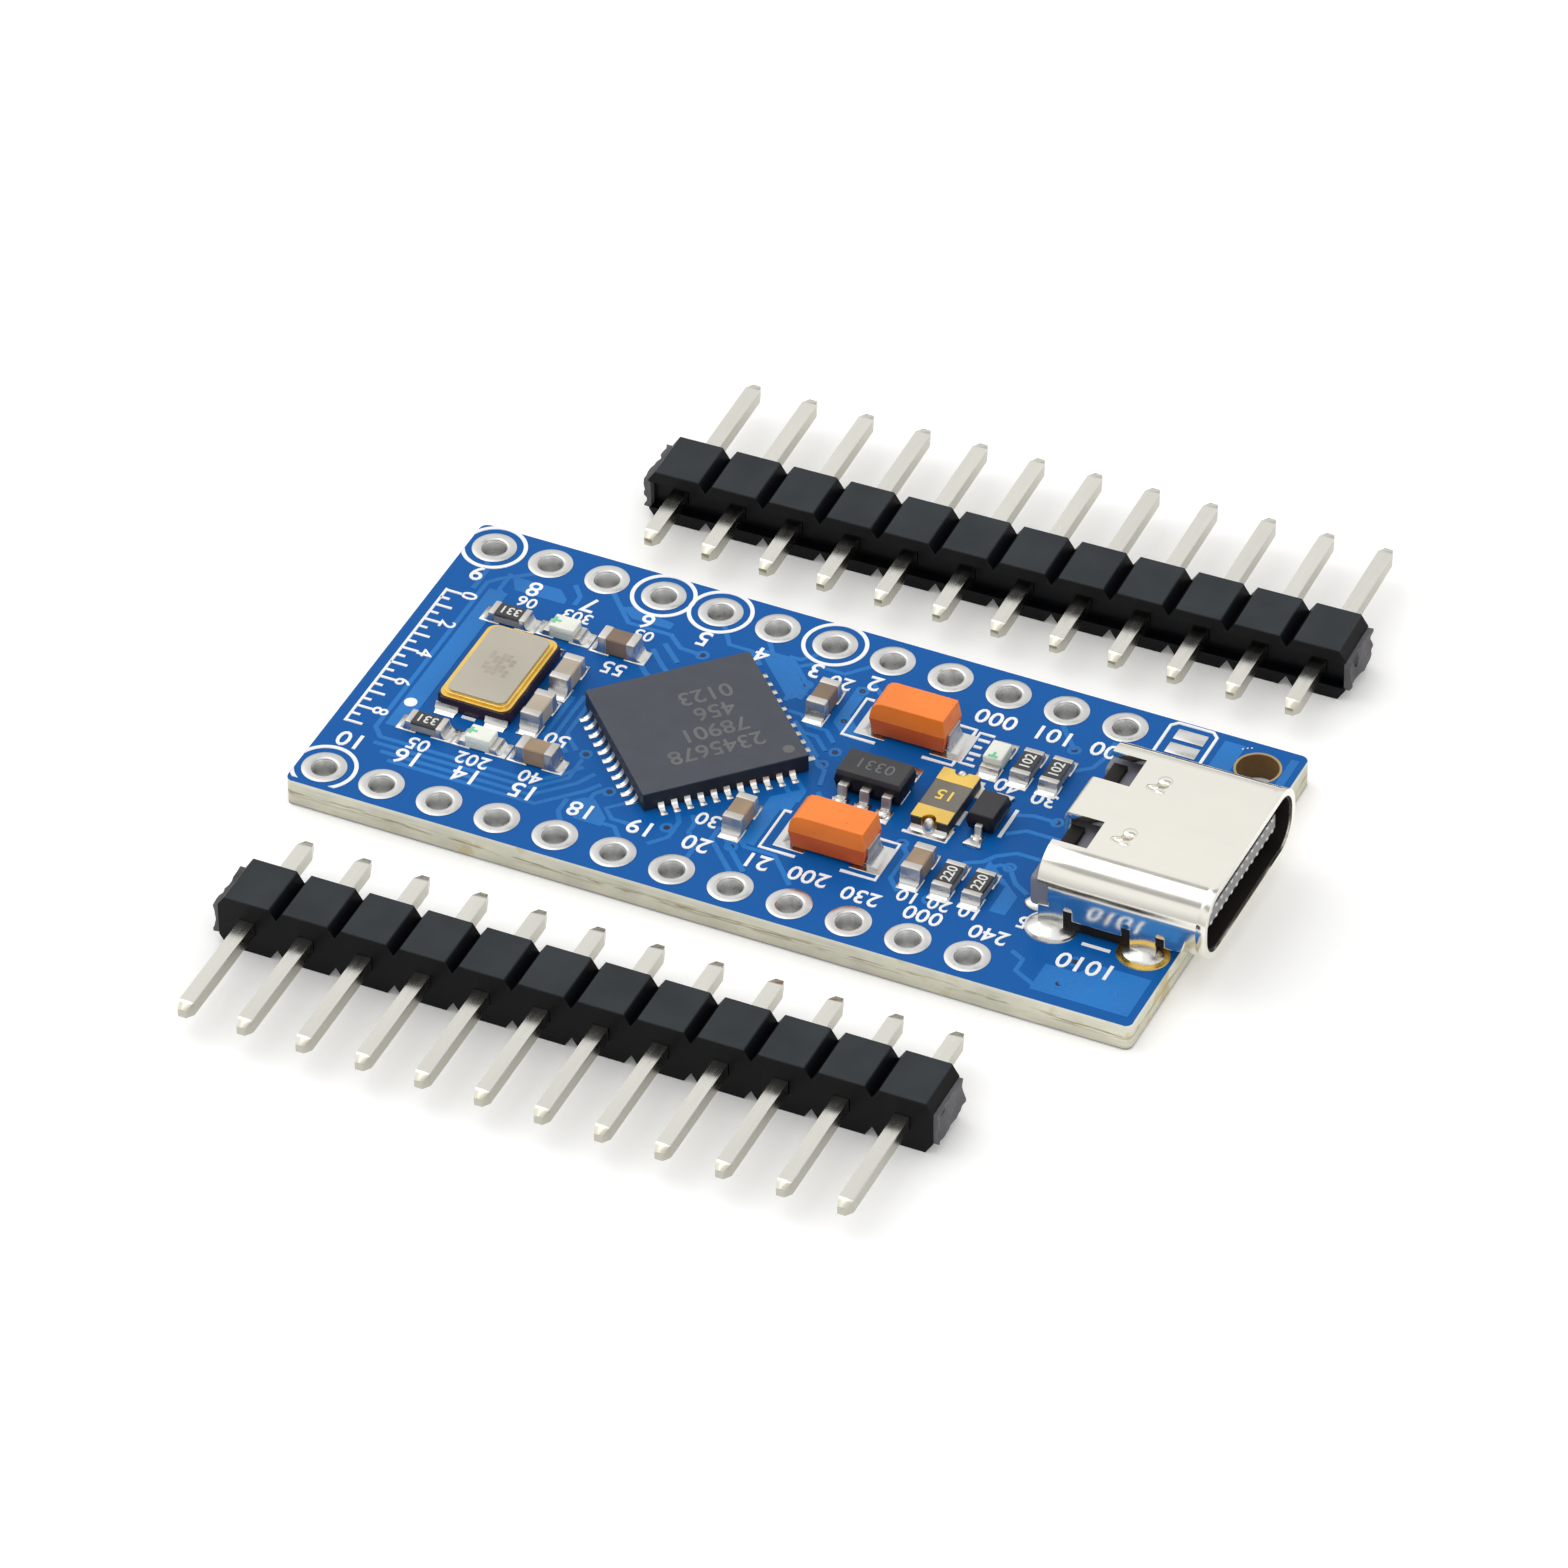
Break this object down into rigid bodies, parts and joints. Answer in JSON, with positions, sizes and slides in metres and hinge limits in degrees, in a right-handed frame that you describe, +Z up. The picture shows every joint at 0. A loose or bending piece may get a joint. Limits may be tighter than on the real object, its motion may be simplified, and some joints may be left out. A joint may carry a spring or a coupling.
{
  "type": "microcontroller dev board",
  "caption": "Small blue microcontroller board with a USB-C socket, two rows of plated header holes and two loose pin-header strips.",
  "frame": {"origin": "middle of the circuit board's underside, which rests on the table", "axes": "+X towards the USB-C end of the board, +Y across the board towards the far header strip, +Z up from the board"},
  "size_m": [0.0378, 0.0453, 0.0044],
  "materials": {
    "board": "glass-epoxy laminate with a glossy blue solder mask",
    "nickel": "nickel-plated sheet steel, satin",
    "grey_plastic": "moulded grey plastic",
    "black_epoxy": "fine-grained moulding compound",
    "ceramic": null,
    "lid_metal": "dull plated lid",
    "orange_epoxy": "orange moulded epoxy",
    "gold": "gold-plated terminals",
    "resistor_black": "black glazed film",
    "capacitor_ceramic": "brown ceramic",
    "led_lens": "milky moulded lens",
    "header_plastic": "black moulded plastic",
    "tin": "tin-plated brass"
  },
  "bodies": {
    "board": {"circuit_board": "board", "usb_shell": "nickel", "usb_insulator": "grey_plastic", "microcontroller": "black_epoxy", "crystal_base": "ceramic", "crystal_lid": "lid_metal", "tantalum_capacitor_far": "orange_epoxy", "tantalum_capacitor_near": "orange_epoxy", "voltage_regulator": "black_epoxy", "diode": "black_epoxy", "resettable_fuse": "gold", "power_led": "led_lens", "transmit_led": "led_lens", "receive_led": "led_lens", "resistor_1": "resistor_black", "resistor_2": "resistor_black", "resistor_3": "resistor_black", "resistor_4": "resistor_black", "resistor_5": "resistor_black", "resistor_6": "resistor_black", "capacitor_1": "capacitor_ceramic", "capacitor_2": "capacitor_ceramic", "capacitor_3": "capacitor_ceramic", "capacitor_4": "capacitor_ceramic", "capacitor_5": "capacitor_ceramic", "capacitor_6": "capacitor_ceramic", "capacitor_7": "capacitor_ceramic"},
    "near_strip": {"near_header_housing": "header_plastic", "near_pin_01": "tin", "near_pin_02": "tin", "near_pin_03": "tin", "near_pin_04": "tin", "near_pin_05": "tin", "near_pin_06": "tin", "near_pin_07": "tin", "near_pin_08": "tin", "near_pin_09": "tin", "near_pin_10": "tin", "near_pin_11": "tin", "near_pin_12": "tin"},
    "far_strip": {"far_header_housing": "header_plastic", "far_pin_01": "tin", "far_pin_02": "tin", "far_pin_03": "tin", "far_pin_04": "tin", "far_pin_05": "tin", "far_pin_06": "tin", "far_pin_07": "tin", "far_pin_08": "tin", "far_pin_09": "tin", "far_pin_10": "tin", "far_pin_11": "tin", "far_pin_12": "tin"}
  },
  "joints": [
    {"name": "near_strip_slide", "type": "slide", "parent": "board", "child": "near_strip", "axis": [0, -1, 0], "range_m": [0, 0.015]},
    {"name": "far_strip_slide", "type": "slide", "parent": "board", "child": "far_strip", "axis": [0, 1, 0], "range_m": [0, 0.015]}
  ]
}
